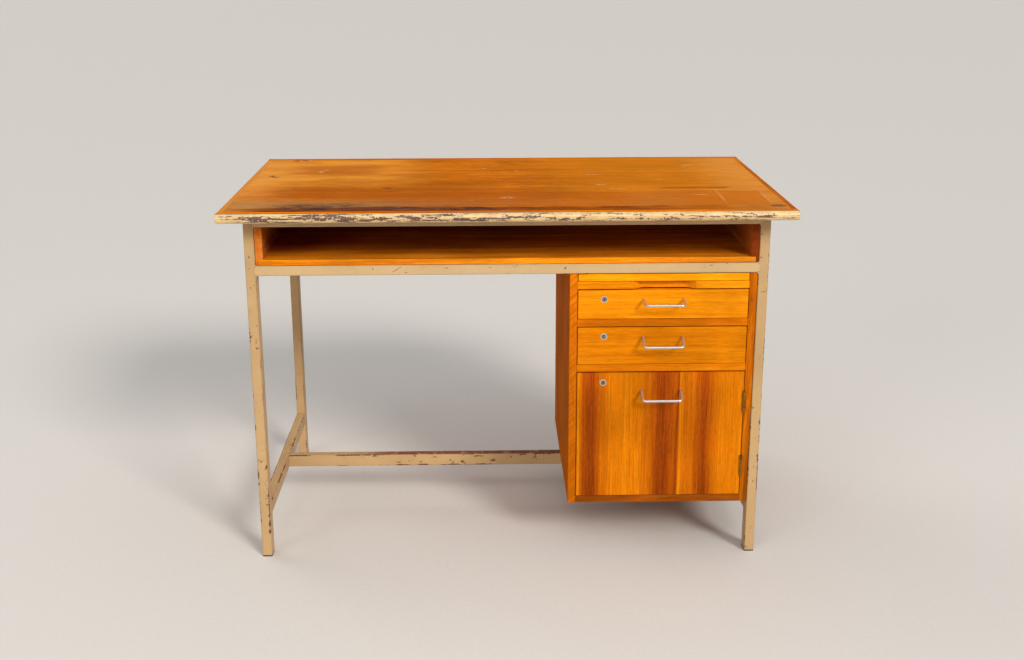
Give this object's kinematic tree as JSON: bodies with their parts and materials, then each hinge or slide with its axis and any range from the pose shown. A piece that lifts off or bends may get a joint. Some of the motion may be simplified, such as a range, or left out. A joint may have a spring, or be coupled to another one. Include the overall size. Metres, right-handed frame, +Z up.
{
  "type": "teacher desk",
  "caption": "Teacher's desk: timber top with a round nosing and an open shelf on a steel tube frame, with a pedestal of pull-out slide, drawers and cupboard.",
  "frame": {"origin": "middle of the desk's plan, on the floor", "axes": "+X along the desk towards the pedestal, +Y from the drawer side to the back, +Z up"},
  "size_m": [1.22, 0.735, 0.811],
  "materials": {
    "enamel": "gloss cream enamel, chipped at the edges",
    "top_timber": "satin varnish over orange-brown timber, worn",
    "nosing_paint": "gloss cream paint, heavily chipped",
    "carcase_timber": "satin varnish over orange timber",
    "front_timber": "satin varnish over orange timber, grain across",
    "door_veneer": "satin varnish over striped veneer, grain upright",
    "drawer_timber": "unvarnished pale timber",
    "handle_metal": "satin",
    "lock_nickel": "dull nickel plate",
    "lock_brass": "dull",
    "hinge_brass": "aged, dull",
    "screw_steel": "zinc plated",
    "tip_rubber": "matt"
  },
  "bodies": {
    "desk": {"front_left_leg": "enamel", "front_right_leg": "enamel", "rear_left_leg": "enamel", "rear_right_leg": "enamel", "top_front_rail": "enamel", "lower_front_rail": "enamel", "rear_rails": "enamel", "side_rails": "enamel", "side_stretchers": "enamel", "long_stretcher": "enamel", "leg_tips": "tip_rubber", "tabletop": "top_timber", "top_long_lippings": "top_timber", "top_end_lippings": "top_timber", "front_nosing": "nosing_paint", "shelf_floor": "carcase_timber", "shelf_sides": "carcase_timber", "shelf_back": "carcase_timber", "pedestal_left_side": "carcase_timber", "pedestal_right_side": "carcase_timber", "pedestal_bottom": "carcase_timber", "pedestal_back": "carcase_timber", "scoop_rail": "carcase_timber", "upper_drawer_rail": "carcase_timber", "lower_drawer_rail": "carcase_timber", "pedestal_runners": "drawer_timber", "door_stop": "drawer_timber", "hinge_stile_leaves": "hinge_brass", "hinge_pins": "hinge_brass", "stile_hinge_screws": "hinge_brass", "rail_screws": "screw_steel", "stretcher_screws": "screw_steel"},
    "writing_slide": {"writing_slide": "front_timber", "slide_stop": "drawer_timber"},
    "cupboard_door": {"cupboard_door": "door_veneer", "door_handle": "handle_metal", "door_handle_screws": "screw_steel", "door_lock_case": "lock_nickel", "hinge_door_leaves": "hinge_brass", "door_hinge_screws": "hinge_brass"},
    "upper_drawer": {"upper_drawer_front": "front_timber", "upper_drawer_sides": "drawer_timber", "upper_drawer_back": "drawer_timber", "upper_drawer_bottom": "drawer_timber", "upper_drawer_handle": "handle_metal", "upper_drawer_handle_screws": "screw_steel", "upper_drawer_lock_case": "lock_nickel"},
    "lower_drawer": {"lower_drawer_front": "front_timber", "lower_drawer_sides": "drawer_timber", "lower_drawer_back": "drawer_timber", "lower_drawer_bottom": "drawer_timber", "lower_drawer_handle": "handle_metal", "lower_drawer_handle_screws": "screw_steel", "lower_drawer_lock_case": "lock_nickel"},
    "upper_drawer_lock_plug": {"upper_drawer_lock_plug": "lock_brass"},
    "upper_drawer_lock_bolt": {"upper_drawer_lock_bolt": "lock_brass"},
    "lower_drawer_lock_plug": {"lower_drawer_lock_plug": "lock_brass"},
    "lower_drawer_lock_bolt": {"lower_drawer_lock_bolt": "lock_brass"},
    "door_lock_plug": {"door_lock_plug": "lock_brass"},
    "door_lock_bolt": {"door_lock_bolt": "lock_brass"}
  },
  "joints": [
    {"name": "writing_slide_pull", "type": "slide", "parent": "desk", "child": "writing_slide", "axis": [0, -1, 0], "range_m": [0, 0.325]},
    {"name": "upper_drawer_pull", "type": "slide", "parent": "desk", "child": "upper_drawer", "axis": [0, -1, 0], "range_m": [0, 0.38]},
    {"name": "lower_drawer_pull", "type": "slide", "parent": "desk", "child": "lower_drawer", "axis": [0, -1, 0], "range_m": [0, 0.38]},
    {"name": "door_swing", "type": "hinge", "parent": "desk", "child": "cupboard_door", "pos_m": [0.52575, -0.2966, 0.28975], "axis": [0, 0, 1], "range_deg": [0, 170]},
    {"name": "upper_drawer_lock_turn", "type": "hinge", "parent": "upper_drawer", "child": "upper_drawer_lock_plug", "pos_m": [0.21, -0.2935, 0.6045], "axis": [0, -1, 0], "range_deg": [0, 90]},
    {"name": "upper_drawer_bolt_rise", "type": "slide", "parent": "upper_drawer", "child": "upper_drawer_lock_bolt", "axis": [0, 0, 1], "range_m": [0, 0.00708]},
    {"name": "lower_drawer_lock_turn", "type": "hinge", "parent": "lower_drawer", "child": "lower_drawer_lock_plug", "pos_m": [0.21, -0.2935, 0.5197], "axis": [0, -1, 0], "range_deg": [0, 90]},
    {"name": "lower_drawer_bolt_rise", "type": "slide", "parent": "lower_drawer", "child": "lower_drawer_lock_bolt", "axis": [0, 0, 1], "range_m": [0, 0.00708]},
    {"name": "door_lock_turn", "type": "hinge", "parent": "cupboard_door", "child": "door_lock_plug", "pos_m": [0.21, -0.2935, 0.413], "axis": [0, -1, 0], "range_deg": [0, 90]},
    {"name": "door_bolt_rise", "type": "slide", "parent": "cupboard_door", "child": "door_lock_bolt", "axis": [0, 0, 1], "range_m": [0, 0.00708]}
  ],
  "couplings": [
    {"joint": "upper_drawer_bolt_rise", "follows": "upper_drawer_lock_turn", "m_per_rad": 0.0045015},
    {"joint": "lower_drawer_bolt_rise", "follows": "lower_drawer_lock_turn", "m_per_rad": 0.0045015},
    {"joint": "door_bolt_rise", "follows": "door_lock_turn", "m_per_rad": 0.0045015}
  ]
}
